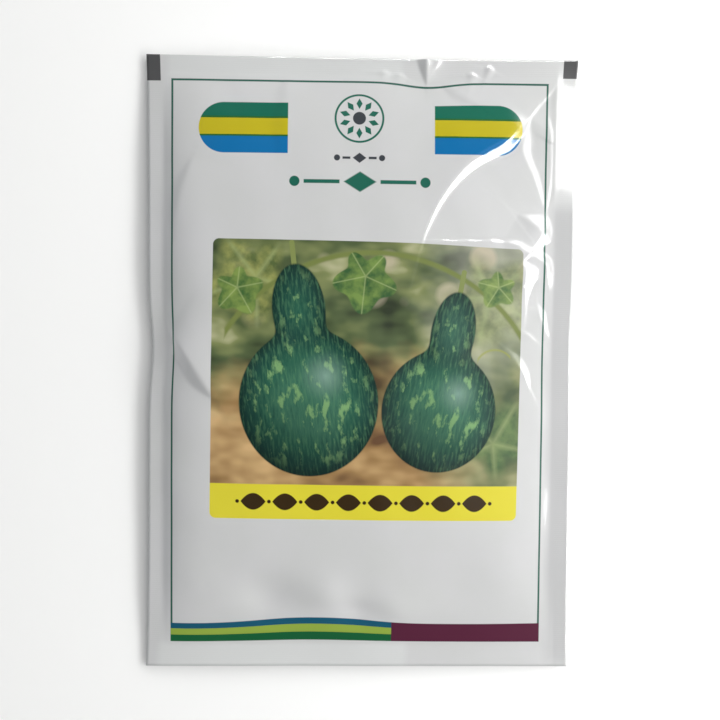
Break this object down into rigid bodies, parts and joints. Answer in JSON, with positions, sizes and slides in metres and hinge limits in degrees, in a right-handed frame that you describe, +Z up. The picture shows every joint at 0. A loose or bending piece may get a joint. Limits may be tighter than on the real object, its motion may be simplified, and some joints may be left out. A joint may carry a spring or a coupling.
{
  "type": "seed packet",
  "caption": "Flat heat-sealed film packet of loose flat seeds, welded on all four edges, lying on its back.",
  "frame": {"origin": "on the surface that the packet lies on, under the middle of the packet", "axes": "+Z up through the printed front, +Y along the packet to its top edge, +X across it to the reader's right"},
  "size_m": [0.128, 0.183, 0.0095],
  "materials": {
    "front_film": "glossy printed laminate, white ground",
    "back_film": "glossy printed laminate, white ground",
    "seed_coat": "dry, matt, finely fibrous"
  },
  "bodies": {
    "root": {"front_panel": "front_film", "back_panel": "back_film", "seed_01": "seed_coat", "seed_02": "seed_coat", "seed_03": "seed_coat", "seed_04": "seed_coat", "seed_05": "seed_coat", "seed_06": "seed_coat", "seed_07": "seed_coat", "seed_08": "seed_coat", "seed_09": "seed_coat", "seed_10": "seed_coat", "seed_11": "seed_coat", "seed_12": "seed_coat", "seed_13": "seed_coat", "seed_14": "seed_coat", "seed_15": "seed_coat", "seed_16": "seed_coat", "seed_17": "seed_coat", "seed_18": "seed_coat", "seed_19": "seed_coat", "seed_20": "seed_coat", "seed_21": "seed_coat", "seed_22": "seed_coat", "seed_23": "seed_coat", "seed_24": "seed_coat", "seed_25": "seed_coat", "seed_26": "seed_coat", "seed_27": "seed_coat", "seed_28": "seed_coat", "seed_29": "seed_coat", "seed_30": "seed_coat", "seed_31": "seed_coat", "seed_32": "seed_coat", "seed_33": "seed_coat", "seed_34": "seed_coat", "seed_35": "seed_coat", "seed_36": "seed_coat", "seed_37": "seed_coat", "seed_38": "seed_coat", "seed_39": "seed_coat", "seed_40": "seed_coat"}
  },
  "joints": []
}
